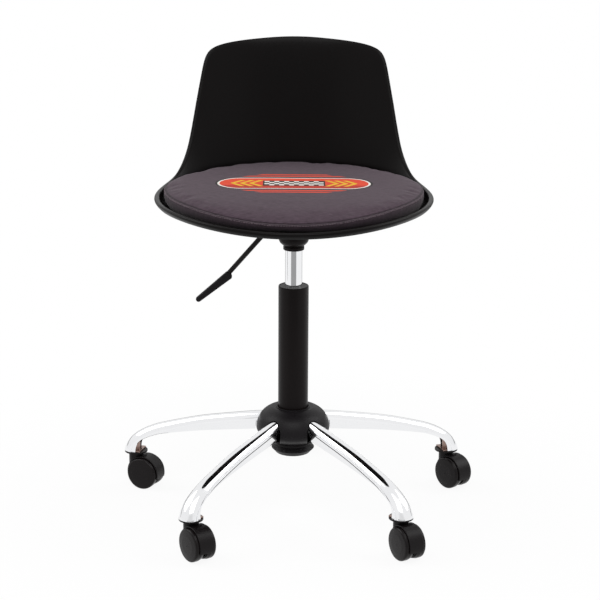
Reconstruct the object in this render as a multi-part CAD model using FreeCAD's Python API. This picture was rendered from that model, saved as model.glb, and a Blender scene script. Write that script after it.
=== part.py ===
import FreeCAD, Part
import math
import os

# A child's swivel task chair: a moulded bucket shell with a round pad, on a gas lift,
# over a five-legged steel base with twin-wheel castors.
# Lengths are millimetres and heights are measured from the floor.
# The chair faces -Y, so its own left side is at +X.

Vector = FreeCAD.Vector
UP = Vector(0, 0, 1)
DOWN = Vector(0, 0, -1)
SIDEWAYS = Vector(1, 0, 0)
REARWARDS = Vector(0, 1, 0)

# Clearances and small overruns
running_gap = 0.05
joint_gap = 0.3
fit_gap = 0.03
soft_gap = 0.5
overrun = 1.0

# The castors trail to one side, so the column stands off the middle of the whole chair
column_x = -8.65
column_y = -11.02

# Base: five pressed legs welded round a hub tube
leg_count = 5
first_leg_deg = 37.65
castor_circle_r = 282.5
leg_end_z = 64.6
leg_root_z = 162.0
leg_wall = 1.8
leg_root_width = 21.0
leg_end_width = 35.2
leg_flank_start_r = 77.0
leg_flank_drop = 13.0
leg_nose_reach = 20.1
hub_tube_r = 27.8
hub_tube_low_z = 100.0
hub_tube_high_z = 167.5

# Column: outer tube, guide sleeve and thrust bearing
tube_r = 25.0
tube_wall = 1.6
tube_taper = 0.8
tube_lip_round = 1.2
tube_low_z = 98.0
tube_high_z = 381.8
sleeve_length = 70.0
sleeve_set_back = 0.6
floor_plate_thick = 4.0
floor_plate_set_back = 1.5
washer_r = 14.0
washer_thick = 1.5
ball_r = 2.0
ball_circle_r = 10.0
ball_count = 10
ball_gap = 0.05
cage_thick = 2.0
cage_wall = 1.2
clip_r = 9.0
clip_thick = 1.2
clip_slot = 4.0
bump_r = 12.0
bump_height = 18.0

# Gas spring: rod, piston, pressure tube, valve
rod_r = 5.0
rod_shoulder_r = 8.0
rod_shoulder_height = 4.0
rod_tail = 2.0
piston_r = 9.95
piston_height = 12.0
piston_low_z = 367.5
cylinder_r = 14.0
cylinder_wall = 1.5
cylinder_low_z = 280.5
cylinder_high_z = 475.5
cylinder_taper = 0.8
inner_tube_wall = 1.2
seal_height = 14.0
valve_height = 14.0
valve_stem_r = 2.0
button_r = 4.0
button_height = 5.3
button_crown = 1.0
button_travel = 3.0

# Under the seat: socket, cup, plate and lever
socket_r = 17.3
socket_neck_r = 16.3
socket_collar_height = 5.4
socket_edge = 0.6
socket_low_z = 443.0
socket_high_z = 473.5
cup_r = 24.7
cup_wall = 2.5
cup_low_z = 449.9
cup_bowl_height = 11.6
plate_length = 150.0
plate_width = 130.0
plate_thick = 3.0
plate_corner_r = 14.0
plate_low_z = 498.5
screw_pitch_x = 110.0
screw_pitch_y = 90.0
screw_r = 3.0
screw_head_r = 5.5
screw_head_height = 3.0
screw_length = 10.0
boss_r = 8.0
ear_thick = 2.0
ear_half_width = 4.0
ear_drop = 5.0
pivot_arm = 27.0
pivot_pin_r = 2.0
pivot_pin_spare = 1.0
lever_rod_r = 3.5
lever_bend_r = 12.0
lever_drop_deg = 49.1
lever_reach = 125.0
lever_slot_play = 2.0
handle_drop_deg = 39.5
handle_length = 69.7
handle_root_half = 7.0
handle_tip_half = 4.5
handle_thick = 8.0
handle_round = 2.5
handle_root_round = 4.2
handle_overlap = 14.0

# Seat shell
shell_wall = 3.5
rim_r = 229.5
rim_z = 533.0
floor_z = 519.5
pan_round = 11.0
floor_disc_r = 105.0
front_droop = 9.5
lip_out_front = 8.0
lip_out_back = 5.0
lip_drop_front = 11.0
lip_drop_back = 6.0
lip_tuck_front = 6.0
lip_tuck_back = 1.0
lip_edge = 1.0
recess_wall_front = 12.5
recess_wall_back = 26.0
back_rise = 227.0

# Seat pad
pad_tilt_deg = 1.5
pad_front_gap = 3.5
pad_back_gap = 6.5
pad_side_deg = 100.0
pad_thick = 22.7
pad_crown = 4.5
pad_draw_in = 10.0
pad_seam_inset = 1.5

# Hub covers
cover_wall = 2.2
cover_top_z = 173.0
cover_top_r = 28.3
cover_step_r = 33.5
cover_wide_r = 61.5
cover_wide_z = 136.5
cover_waist_r = 30.0
cover_waist_z = 107.5
cover_tip_r = 35.8
cover_tip_z = 100.5
cover_low_r = 29.4
cover_low_edge = 0.8
cover_core_r = 34.0
cover_tongue_half = 22.5
cover_low_z = 92.7
arch_play = 1.0
cover_shoulder_shares = (0.66, 0.68)

# Castors
castor_trail = 18.8
castor_top_z = 64.3
castor_flange_r = 19.6
castor_flange_thick = 2.6
castor_tower_r = 12.5
wheel_r = 27.4
wheel_inner_y = 3.7
wheel_outer_y = 18.8
wheel_crown = 1.2
wheel_round = 3.5
wheel_inner_taper = 1.5
wheel_tread_y = 9.0
wheel_rim_thick = 4.5
wheel_face_thick = 2.4
wheel_hub_r = 8.0
wheel_crown_shares = (0.55, 0.75)
wheel_round_shares = ((0.13, 0.5), (0.5, 0.13))
hood_half_width = 13.0
hood_gap = 0.7
hood_wall = 1.8
hood_low_z = 19.5
web_half_thick = 3.2
axle_r = 4.0
axle_half_length = 15.0
stem_r = 5.5
stem_length = 19.0
stem_groove_depth = 0.8
stem_groove_height = 3.0
stem_seat_depth = 8.0
socket_tube_wall = 1.5
socket_plate_thick = 2.0
socket_plate_back = 12.0

# Where each castor happened to be trailing, as degrees round from +X
castor_heading_deg = [-60.0, -50.0, -46.0, -26.0, -55.0]

# The shell's edge from the front round to the middle of the back, on one side:
# degrees from the front, radius as a share of the rim's, rise as a share of the back's
shell_edge_shares = [
    (0.0, 1.0, 0.0),
    (14.0, 1.0, 0.0),
    (28.0, 1.0, 0.0),
    (42.0, 1.0, 0.0),
    (56.0, 1.0, 0.0),
    (70.0, 1.0, 0.0),
    (84.0, 1.0, 0.0),
    (96.0, 1.0, 0.002),
    (106.0, 1.0, 0.007),
    (113.4, 1.0, 0.019),
    (118.8, 1.0, 0.042),
    (122.8, 1.001, 0.095),
    (126.1, 1.006, 0.164),
    (128.6, 1.013, 0.231),
    (131.1, 1.024, 0.329),
    (133.4, 1.034, 0.443),
    (135.5, 1.044, 0.557),
    (137.6, 1.053, 0.672),
    (139.5, 1.061, 0.787),
    (140.8, 1.065, 0.854),
    (142.3, 1.066, 0.9),
    (144.4, 1.062, 0.931),
    (147.8, 1.055, 0.953),
    (152.8, 1.047, 0.969),
    (159.5, 1.038, 0.981),
    (166.7, 1.032, 0.99),
    (173.8, 1.028, 0.998),
]
shell_back_share = (180.0, 1.027, 1.0)

# Rows of the shell's skin: over the flat floor, then round the bend as shares of the
# bend's width and of the recess, then straight up the wall
floor_row_shares = [0.0, 0.35, 0.75, 1.0]
bend_row_shares = [(0.6, 0.15), (1.0, 0.4)]
heel_share = 0.3
sole_share = 0.7
wall_rows = 5
wall_turn_deg = (105.0, 150.0)

# The pad's side band as shares of its draw-in and thickness, from the bottom up, and
# its crown as shares of the pad's radius and the crown's rise
pad_band_shares = [(1.0, 0.0), (0.55, 0.16), (0.3, 0.5), (0.0, 0.82)]
pad_crown_shares = [(0.06, 0.35), (0.24, 0.8), (0.62, 1.0)]

# A leg's shoulders take nearly its whole half width, and leave a narrow crest
leg_shoulder_share = 0.93

# The lower hub cover's skirt from the seam in to the waist, as shares of the way in
# and of the way down
cover_skirt_shares = [(0.0, 0.0), (0.11, 0.28), (0.36, 0.5), (0.65, 0.67), (0.89, 0.79), (1.0, 1.0)]

# The socket cup's bowl from its side in to the socket, as shares of the way in and down
cup_bowl_shares = [(0.0, 0.0), (0.06, 0.3), (0.25, 0.55), (0.56, 0.78), (1.0, 1.0)]

# The leg's side view: ridge and lower edge, as shares of the way out to the nose
# and of the height from the leg's end up to its root
leg_ridge_shares = [
    (0.0, 1.0), (0.13, 0.951), (0.256, 0.89), (0.507, 0.751), (0.735, 0.572),
    (0.822, 0.483), (0.889, 0.386), (0.942, 0.274), (0.976, 0.157), (0.995, 0.05),
    (1.0, 0.0),
]
leg_edge_shares = [
    (0.0, 0.697), (0.115, 0.66), (0.239, 0.615), (0.489, 0.519), (0.716, 0.402),
    (0.791, 0.343), (0.852, 0.268), (0.889, 0.194), (0.905, 0.12), (0.911, 0.05),
    (0.912, 0.0),
]


def polar(radius, degrees, z):
    """Point at a radius and a bearing: 0 degrees is the front, 90 the chair's left."""
    turn = math.radians(degrees)
    return Vector(radius * math.sin(turn), -radius * math.cos(turn), z)


def spun(points, centre=Vector(0, 0, 0), axis=UP):
    """Solid of revolution of a closed outline."""
    wire = Part.makePolygon(points + [points[0]])
    return Part.Face(wire).revolve(centre, axis, 360)


def ring(outer_r, inner_r, low_z, high_z):
    """Plain round tube on the column's axis."""
    return spun([Vector(inner_r, 0, low_z), Vector(outer_r, 0, low_z),
                 Vector(outer_r, 0, high_z), Vector(inner_r, 0, high_z)])


def disc(radius, low_z, high_z):
    """Plain round bar on the column's axis."""
    return Part.makeCylinder(radius, high_z - low_z, Vector(0, 0, low_z), UP)


def block(low, high):
    """Box between two corners."""
    size = high - low
    return Part.makeBox(size.x, size.y, size.z, low)


def joined(shapes):
    """One solid from overlapping shapes."""
    whole = shapes[0]
    for shape in shapes[1:]:
        whole = whole.fuse(shape)
    return whole.removeSplitter()


# Heights and radii that follow from the driving sizes
tube_inner_r = tube_r - tube_wall
floor_plate_low_z = tube_low_z + floor_plate_set_back
floor_plate_high_z = floor_plate_low_z + floor_plate_thick
cage_low_z = floor_plate_high_z + washer_thick
race_gap = 2 * (ball_r + ball_gap)
upper_washer_low_z = cage_low_z + race_gap
shoulder_low_z = upper_washer_low_z + washer_thick
bump_low_z = shoulder_low_z + rod_shoulder_height
rod_low_z = floor_plate_low_z - clip_thick - rod_tail
cylinder_inner_r = cylinder_r - cylinder_wall
inner_tube_inner_r = piston_r + running_gap
inner_tube_r = inner_tube_inner_r + inner_tube_wall
lever_rod_z = cylinder_high_z + button_height + running_gap + lever_rod_r
leg_nose_r = castor_circle_r + leg_nose_reach
pad_r = rim_r - recess_wall_front - pad_front_gap
pad_back_y = rim_r - recess_wall_back - pad_back_gap


# Base

def taper_r(z):
    """Outside of the column's tube, which narrows where the hub grips it."""
    if z >= hub_tube_high_z:
        return tube_r
    return tube_r - tube_taper * (hub_tube_high_z - z) / (hub_tube_high_z - tube_low_z)


def make_column_tube():
    low_r = taper_r(tube_low_z)
    return spun([
        Vector(low_r - tube_wall, 0, tube_low_z),
        Vector(low_r, 0, tube_low_z),
        Vector(tube_r, 0, hub_tube_high_z),
        Vector(tube_r, 0, tube_high_z - tube_lip_round),
        Vector(tube_r - 0.3 * tube_lip_round, 0, tube_high_z - 0.3 * tube_lip_round),
        Vector(tube_r - tube_lip_round, 0, tube_high_z),
        Vector(tube_inner_r, 0, tube_high_z),
        Vector(tube_inner_r, 0, hub_tube_high_z),
    ])


def make_hub_tube():
    low_r = taper_r(hub_tube_low_z) + fit_gap
    high_r = tube_r + fit_gap
    return spun([
        Vector(low_r, 0, hub_tube_low_z),
        Vector(hub_tube_r, 0, hub_tube_low_z),
        Vector(hub_tube_r, 0, hub_tube_high_z),
        Vector(high_r, 0, hub_tube_high_z),
    ])


def make_guide_sleeve():
    high_z = tube_high_z - sleeve_set_back
    low_z = high_z - sleeve_length
    return ring(tube_inner_r - fit_gap, cylinder_r + running_gap, low_z, high_z)


def make_bottom_plate():
    plate_r = taper_r(floor_plate_low_z) - tube_wall - fit_gap
    return ring(plate_r, rod_r + running_gap, floor_plate_low_z, floor_plate_high_z)


def make_lower_washer():
    return ring(washer_r, rod_r + running_gap, floor_plate_high_z, cage_low_z)


def leg_point(share):
    """Place in a leg's side view from its shares of reach and height."""
    reach = leg_nose_r - hub_tube_r
    return hub_tube_r + reach * share[0], leg_end_z + (leg_root_z - leg_end_z) * share[1]


def leg_skin(station, inset):
    """Upside-down U across the leg, as edges, drawn in from the outer skin."""
    ridge_r, ridge_z = leg_point(leg_ridge_shares[station])
    edge_r, edge_z = leg_point(leg_edge_shares[station])
    foot = Vector(edge_r, 0, edge_z)
    rise = Vector(ridge_r, 0, ridge_z) - foot
    height = rise.Length - inset
    rise.normalize()
    way = station / (len(leg_ridge_shares) - 1.0)
    half = (leg_root_width + (leg_end_width - leg_root_width) * way) / 2 - inset
    shoulder = (half + inset) * leg_shoulder_share - inset
    flat = half - shoulder
    corner = height - shoulder
    reach = shoulder * math.cos(math.radians(45))

    def at(across, along):
        return foot + REARWARDS * across + rise * along

    return [
        Part.LineSegment(at(-half, 0), at(-half, corner)).toShape(),
        Part.Arc(at(-half, corner), at(-flat - reach, corner + reach), at(-flat, height)).toShape(),
        Part.LineSegment(at(-flat, height), at(flat, height)).toShape(),
        Part.Arc(at(flat, height), at(flat + reach, corner + reach), at(half, corner)).toShape(),
        Part.LineSegment(at(half, corner), at(half, 0)).toShape(),
    ]


def bridge(first, second):
    """Straight edge between the ends of two runs of edges."""
    return Part.LineSegment(first.Point, second.Point).toShape()


def leg_channel():
    """Open pressed channel pointing along +X, lofted through its sections."""
    sections = []
    for station in range(len(leg_ridge_shares)):
        outer = leg_skin(station, 0)
        inner = leg_skin(station, leg_wall)
        right_foot = bridge(outer[-1].lastVertex(), inner[-1].lastVertex())
        left_foot = bridge(inner[0].firstVertex(), outer[0].firstVertex())
        sections.append(Part.Wire(outer + [right_foot] + list(reversed(inner)) + [left_foot]))
    return Part.makeLoft(sections, True, False)


def leg_block(inset):
    """The space inside a skin of the leg, as one closed body pointing along +X."""
    sections = []
    for station in range(len(leg_ridge_shares)):
        edges = leg_skin(station, inset)
        sections.append(Part.Wire(edges + [bridge(edges[-1].lastVertex(), edges[0].firstVertex())]))
    return Part.makeLoft(sections, True, False)


def under_leg(reach, spare):
    """The space under a leg's round top, from the column out to a given reach."""
    root_r, root_z = leg_point(leg_ridge_shares[0])
    out_r, out_z = leg_point(leg_ridge_shares[2])
    slope = (out_z - root_z) / (out_r - root_r)
    near_z = root_z - slope * root_r - leg_flank_drop - spare
    corners = [Vector(0, 0, 0), Vector(reach, 0, 0), Vector(reach, 0, near_z + slope * reach),
               Vector(0, 0, near_z)]
    side = Part.Face(Part.makePolygon(corners + [corners[0]]))
    side.translate(REARWARDS * -leg_end_width)
    return side.extrude(REARWARDS * 2 * leg_end_width)


def make_leg(bearing):
    leg = leg_channel().cut(disc(hub_tube_r + fit_gap, 0, 2 * leg_root_z))
    leg = leg.cut(under_leg(leg_flank_start_r, 0))
    leg.rotate(Vector(0, 0, 0), UP, bearing - 90)
    return leg


def stem_socket():
    """Bush with its closing plate, welded inside the end of a leg."""
    half = leg_end_width / 2 - leg_wall - fit_gap
    back_x = castor_circle_r - socket_plate_back
    high_z = leg_end_z + socket_plate_thick
    inner_half = half - joint_gap
    plate = block(Vector(back_x, -inner_half, leg_end_z), Vector(castor_circle_r, inner_half, high_z))
    nose = block(Vector(castor_circle_r, -half, leg_end_z), Vector(leg_nose_r, half, high_z))
    plate = joined([plate, nose.common(leg_block(leg_wall + fit_gap))])
    centre = Vector(castor_circle_r, 0, leg_end_z)
    bush = Part.makeCylinder(stem_r + socket_tube_wall, stem_length, centre, UP)
    bore = Part.makeCylinder(stem_r + running_gap, stem_length - socket_plate_thick, centre, UP)
    return joined([plate, bush]).cut(bore)


def make_stem_sockets():
    bushes = []
    for bearing in leg_bearings:
        bush = stem_socket()
        bush.rotate(Vector(0, 0, 0), UP, bearing - 90)
        bushes.append(bush)
    return Part.makeCompound(bushes)


leg_bearings = [first_leg_deg + 360.0 / leg_count * count for count in range(leg_count)]


# Hub covers

def drawn_in(outline, depth):
    """The other side of a wall whose outer outline is given from its top down."""
    inner = []
    for place, point in enumerate(outline):
        run = outline[min(place + 1, len(outline) - 1)] - outline[max(place - 1, 0)]
        run.normalize()
        inner.append(point + Vector(run.z, 0, -run.x) * depth)
    return inner


def way_between(start, end, shares):
    """Outline points from one corner to another, by their shares of the way in and down."""
    span = end - start
    return [start + Vector(span.x * across, 0, span.z * down) for across, down in shares]


def cover_skin(outline, wall_outline):
    """Shell of revolution between an outer and an inner outline, both top to bottom."""
    curve = Part.BSplineCurve()
    curve.interpolate(outline)
    inner = Part.BSplineCurve()
    inner.interpolate(list(reversed(wall_outline)))
    wire = Part.Wire([
        curve.toShape(),
        Part.LineSegment(outline[-1], wall_outline[-1]).toShape(),
        inner.toShape(),
        Part.LineSegment(wall_outline[0], outline[0]).toShape(),
    ])
    return Part.Face(wire).revolve(Vector(0, 0, 0), UP, 360)


def leg_tunnel():
    """Straight room for a leg's near end, with play round it."""
    edges = leg_skin(1, -arch_play)
    face = Part.Face(Part.Wire(edges + [bridge(edges[-1].lastVertex(), edges[0].firstVertex())]))
    near_r, near_z = leg_point(leg_ridge_shares[0])
    far_r, far_z = leg_point(leg_ridge_shares[1])
    run = Vector(far_r - near_r, 0, far_z - near_z)
    face.translate(run * -1)
    return face.extrude(run * 2).cut(under_leg(2 * leg_nose_r, arch_play))


def notched(cover):
    """Cut the five arches that the legs come out of, and the gaps under them, which leave
    straight-sided tongues between the legs."""
    high_z = leg_root_z - leg_flank_drop - arch_play
    gaps = disc(cover_wide_r + overrun, cover_waist_z, high_z)
    gaps = gaps.cut(disc(cover_core_r, cover_waist_z - overrun, high_z + overrun))
    for bearing in leg_bearings:
        tongue = block(Vector(0, -cover_tongue_half, 0),
                       Vector(2 * cover_wide_r, cover_tongue_half, 2 * high_z))
        tongue.rotate(Vector(0, 0, 0), UP, bearing - 90 + 180.0 / leg_count)
        gaps = gaps.cut(tongue)
    for bearing in leg_bearings:
        tunnel = leg_tunnel()
        tunnel.rotate(Vector(0, 0, 0), UP, bearing - 90)
        cover = cover.cut(tunnel)
    return cover.cut(gaps)


def make_hub_cover_upper():
    shoulder_r = cover_step_r + (cover_wide_r - cover_step_r) * cover_shoulder_shares[0]
    shoulder_z = cover_wide_z + (cover_top_z - cover_wide_z) * cover_shoulder_shares[1]
    outline = [
        Vector(cover_step_r, 0, cover_top_z - 0.5 * cover_wall),
        Vector(shoulder_r, 0, shoulder_z),
        Vector(cover_wide_r, 0, cover_wide_z),
    ]
    inner = [
        Vector(cover_step_r, 0, cover_top_z - 1.5 * cover_wall),
        Vector(shoulder_r - 0.7 * cover_wall, 0, shoulder_z - 0.7 * cover_wall),
        Vector(cover_wide_r - cover_wall, 0, cover_wide_z),
    ]
    dome = cover_skin(outline, inner)
    crown = ring(cover_step_r, cover_top_r - cover_wall, cover_top_z - 1.5 * cover_wall,
                 cover_top_z - 0.5 * cover_wall)
    lip = ring(cover_top_r, cover_top_r - cover_wall, cover_top_z - 1.5 * cover_wall, cover_top_z)
    return notched(joined([dome, crown, lip]))


def make_hub_cover_lower():
    seam_z = cover_wide_z - fit_gap
    outline = way_between(Vector(cover_wide_r, 0, seam_z), Vector(cover_waist_r, 0, cover_waist_z),
                          cover_skirt_shares)
    inner = drawn_in(outline, cover_wall)
    inner[0] = Vector(cover_wide_r - cover_wall, 0, seam_z)
    inner[-1] = Vector(cover_waist_r - cover_wall, 0, cover_waist_z)
    skirt = cover_skin(outline, inner)
    cup = spun([
        Vector(cover_waist_r, 0, cover_waist_z),
        Vector(cover_tip_r, 0, cover_tip_z),
        Vector(cover_low_r, 0, cover_low_z + cover_low_edge),
        Vector(cover_low_r - cover_low_edge, 0, cover_low_z),
        Vector(0, 0, cover_low_z),
        Vector(0, 0, cover_low_z + cover_wall),
        Vector(cover_low_r - cover_wall, 0, cover_low_z + cover_wall),
        Vector(cover_waist_r - cover_wall / 2, 0, cover_tip_z),
        Vector(cover_waist_r - cover_wall, 0, cover_waist_z),
    ])
    return notched(joined([skirt, cup]))


# Thrust bearing and gas spring

def make_ball_cage():
    outer_r = ball_circle_r + ball_r + cage_wall
    inner_r = ball_circle_r - ball_r - cage_wall
    mid_z = cage_low_z + race_gap / 2
    cage = ring(outer_r, inner_r, mid_z - cage_thick / 2, mid_z + cage_thick / 2)
    for count in range(ball_count):
        centre = polar(ball_circle_r, 360.0 / ball_count * count, mid_z - cage_thick)
        cage = cage.cut(Part.makeCylinder(ball_r + ball_gap, 2 * cage_thick, centre, UP))
    return cage


def make_bearing_balls():
    mid_z = cage_low_z + race_gap / 2
    balls = []
    for count in range(ball_count):
        balls.append(Part.makeSphere(ball_r, polar(ball_circle_r, 360.0 / ball_count * count, mid_z)))
    return Part.makeCompound(balls)


def make_upper_washer():
    return ring(washer_r, rod_r + fit_gap, upper_washer_low_z, shoulder_low_z - fit_gap)


def make_piston_rod():
    high_z = piston_low_z + piston_height
    rod = disc(rod_r, rod_low_z, high_z)
    shoulder = disc(rod_shoulder_r, shoulder_low_z, bump_low_z)
    return joined([rod, shoulder])


def make_piston():
    return ring(piston_r, rod_r + fit_gap, piston_low_z, piston_low_z + piston_height)


def make_bump_stop():
    return ring(bump_r, rod_r + fit_gap, bump_low_z + fit_gap, bump_low_z + bump_height)


def make_retaining_clip():
    low_z = floor_plate_low_z - running_gap - clip_thick
    clip = ring(clip_r, rod_r + fit_gap, low_z, low_z + clip_thick)
    slot = block(Vector(-clip_slot / 2, -clip_r - overrun, low_z - overrun),
                 Vector(clip_slot / 2, 0, low_z + clip_thick + overrun))
    return clip.cut(slot)


def cylinder_taper_r(z):
    """Outside of the pressure tube, which narrows where the socket grips it."""
    if z <= socket_low_z:
        return cylinder_r
    return cylinder_r - cylinder_taper * (z - socket_low_z) / (cylinder_high_z - socket_low_z)


def make_gas_cylinder():
    high_r = cylinder_taper_r(cylinder_high_z)
    bore_high_r = high_r - cylinder_wall
    return spun([
        Vector(cylinder_inner_r, 0, cylinder_low_z),
        Vector(cylinder_r, 0, cylinder_low_z),
        Vector(cylinder_r, 0, socket_low_z),
        Vector(high_r, 0, cylinder_high_z),
        Vector(bore_high_r, 0, cylinder_high_z),
        Vector(cylinder_inner_r, 0, socket_low_z),
    ])


def make_seal_plug():
    return ring(cylinder_inner_r - fit_gap, rod_r + running_gap, cylinder_low_z,
                cylinder_low_z + seal_height)


def make_inner_tube():
    return ring(inner_tube_r, inner_tube_inner_r, cylinder_low_z + seal_height + fit_gap,
                cylinder_high_z - valve_height - fit_gap)


def make_valve_body():
    low_z = cylinder_high_z - valve_height
    outer_r = cylinder_taper_r(cylinder_high_z) - cylinder_wall - fit_gap
    body = disc(outer_r, low_z, cylinder_high_z)
    well_low_z = cylinder_high_z - button_travel - overrun
    well = disc(button_r + running_gap, well_low_z, cylinder_high_z + overrun)
    bore = disc(valve_stem_r + running_gap, low_z - overrun, well_low_z + overrun)
    return body.cut(well).cut(bore)


def make_release_button():
    top_z = cylinder_high_z + button_height
    head_low_z = cylinder_high_z - overrun / 2
    crown_centre = top_z - button_crown
    head = Part.makeCone(button_r, button_r - button_crown, button_crown,
                         Vector(0, 0, crown_centre), UP)
    shank = disc(button_r, head_low_z, crown_centre)
    stem = disc(valve_stem_r, cylinder_high_z - valve_height, head_low_z)
    return joined([shank, head, stem])


# Socket, cup, plate and lever

def make_cone_socket():
    low_r = cylinder_taper_r(socket_low_z) + fit_gap
    high_r = cylinder_taper_r(socket_high_z) + fit_gap
    return spun([
        Vector(low_r, 0, socket_low_z),
        Vector(socket_r - socket_edge, 0, socket_low_z),
        Vector(socket_r, 0, socket_low_z + socket_edge),
        Vector(socket_r, 0, socket_low_z + socket_collar_height),
        Vector(socket_neck_r, 0, socket_low_z + socket_collar_height + socket_edge),
        Vector(socket_neck_r, 0, socket_high_z),
        Vector(high_r, 0, socket_high_z),
    ])


def make_socket_cup():
    high_z = plate_low_z - fit_gap
    bowl = way_between(Vector(cup_r, 0, cup_low_z + cup_bowl_height),
                       Vector(socket_neck_r + fit_gap, 0, cup_low_z), cup_bowl_shares)
    outline = [Vector(cup_r, 0, high_z)] + bowl
    inner = drawn_in(outline, cup_wall)
    inner[0] = Vector(cup_r - cup_wall, 0, high_z)
    inner[-1] = Vector(socket_neck_r + fit_gap, 0, cup_low_z + cup_wall)
    cup = spun(outline + list(reversed(inner)))
    half = lever_rod_r + lever_slot_play
    slot = block(Vector(-cup_r - overrun, -half, lever_rod_z - half),
                 Vector(0, half, high_z + overrun))
    return cup.cut(slot)


def make_mounting_plate():
    """Pressed plate under the pan, with the two ears that carry the lever's pivot."""
    low = Vector(-plate_length / 2, -plate_width / 2, plate_low_z)
    plate = block(low, Vector(plate_length / 2, plate_width / 2, plate_low_z + plate_thick))
    upright = [edge for edge in plate.Edges if abs(edge.tangentAt(edge.FirstParameter).z) > 0.9]
    plate = plate.makeFillet(plate_corner_r, upright)
    for x, y in screw_places:
        hole = Part.makeCylinder(screw_r + running_gap, plate_thick + 2 * overrun,
                                 Vector(x, y, plate_low_z - overrun), UP)
        plate = plate.cut(hole)
    ears = []
    for side in (-1, 1):
        near = side * ear_half_width
        far = side * (ear_half_width + ear_thick)
        low_corner = Vector(-pivot_arm - ear_drop, min(near, far), lever_rod_z - ear_drop)
        high_corner = Vector(-cup_r - soft_gap, max(near, far), plate_low_z + plate_thick / 2)
        ears.append(block(low_corner, high_corner))
    plate = joined([plate] + ears)
    pin_hole = Part.makeCylinder(pivot_pin_r, 4 * ear_half_width,
                                 Vector(-pivot_arm, -2 * ear_half_width, lever_rod_z), REARWARDS)
    return plate.cut(pin_hole)


def make_lever_pin():
    half = ear_half_width + ear_thick + pivot_pin_spare
    return Part.makeCylinder(pivot_pin_r - fit_gap / 3, 2 * half,
                             Vector(-pivot_arm, -half, lever_rod_z), REARWARDS)


screw_places = [(x_side * screw_pitch_x / 2, y_side * screw_pitch_y / 2)
                for x_side in (-1, 1) for y_side in (-1, 1)]


def make_plate_screws():
    """Pan-head screws driven up through the plate into the pan's bosses."""
    screws = []
    for x, y in screw_places:
        head = Part.makeCone(screw_head_r - screw_head_height / 3, screw_head_r, screw_head_height,
                             Vector(x, y, plate_low_z - screw_head_height), UP)
        shank = Part.makeCylinder(screw_r, screw_length, Vector(x, y, plate_low_z), UP)
        screws.append(joined([head, shank]))
    return Part.makeCompound(screws)


def lever_corner():
    """Point where the lever's level run would meet its falling run."""
    slope = math.radians(lever_drop_deg)
    back = lever_bend_r * math.tan(slope / 2)
    return Vector(-pivot_arm - pivot_pin_r - overrun - back, 0, lever_rod_z)


def lever_end():
    slope = math.radians(lever_drop_deg)
    return lever_corner() + Vector(-math.cos(slope), 0, -math.sin(slope)) * lever_reach


def make_lever_rod():
    slope = math.radians(lever_drop_deg)
    corner = lever_corner()
    back = lever_bend_r * math.tan(slope / 2)
    start = Vector(button_r, 0, lever_rod_z)
    falling = Vector(-math.cos(slope), 0, -math.sin(slope))
    bend_in = corner + SIDEWAYS * back
    bend_out = corner + falling * back
    centre = bend_in + DOWN * lever_bend_r
    half_slope = slope / 2
    middle = centre + Vector(-math.sin(half_slope), 0, math.cos(half_slope)) * lever_bend_r
    path = Part.Wire([
        Part.LineSegment(start, bend_in).toShape(),
        Part.Arc(bend_in, middle, bend_out).toShape(),
        Part.LineSegment(bend_out, lever_end()).toShape(),
    ])
    circle = Part.Wire(Part.Circle(start, SIDEWAYS, lever_rod_r).toShape())
    rod = path.makePipeShell([circle], True, False)
    bore = Part.makeCylinder(pivot_pin_r + running_gap, 4 * lever_rod_r,
                             Vector(-pivot_arm, -2 * lever_rod_r, lever_rod_z), REARWARDS)
    return rod.cut(bore)


def make_lever_handle():
    """Flat moulded paddle pushed on the end of the rod."""
    slope = math.radians(handle_drop_deg)
    along = Vector(-math.cos(slope), 0, -math.sin(slope))
    across = Vector(-math.sin(slope), 0, math.cos(slope))
    root = lever_end() - along * handle_overlap
    tip = root + along * handle_length
    tip_centre = tip - along * handle_tip_half
    top_root = root + across * handle_root_half
    low_root = root - across * handle_root_half
    top_tip = tip_centre + across * handle_tip_half
    low_tip = tip_centre - across * handle_tip_half
    cap = root - along * handle_root_round
    outline = Part.Wire([
        Part.LineSegment(top_root, top_tip).toShape(),
        Part.Arc(top_tip, tip, low_tip).toShape(),
        Part.LineSegment(low_tip, low_root).toShape(),
        Part.Arc(low_root, cap, top_root).toShape(),
    ])
    paddle = Part.Face(outline).extrude(REARWARDS * handle_thick)
    paddle.translate(REARWARDS * (-handle_thick / 2))
    long_edges = [edge for edge in paddle.Edges
                  if abs(edge.tangentAt(edge.FirstParameter).y) < 0.5]
    paddle = paddle.makeFillet(handle_round, long_edges)
    return paddle.cut(make_lever_rod())


# Seat shell and pad

def blend(angle, low, high):
    """0 before one bearing, 1 after another, smooth between."""
    way = min(1.0, max(0.0, (angle - low) / (high - low)))
    return way * way * (3 - 2 * way)


def shell_edge():
    """The lip's outer corner all the way round, as bearing, radius and height."""
    edge = []
    for degrees, reach, rise in shell_edge_shares:
        edge.append((degrees, rim_r * reach, rim_z + back_rise * rise))
    degrees, reach, rise = shell_back_share
    edge.append((degrees, rim_r * reach, rim_z + back_rise * rise))
    for degrees, reach, rise in reversed(shell_edge_shares[1:]):
        edge.append((360 - degrees, rim_r * reach, rim_z + back_rise * rise))
    return edge


def front_drop(y):
    """How far the pan's rim has fallen away at a place towards its front."""
    way = max(0.0, -y - floor_disc_r) / (rim_r - floor_disc_r)
    return front_droop * way * way


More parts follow.
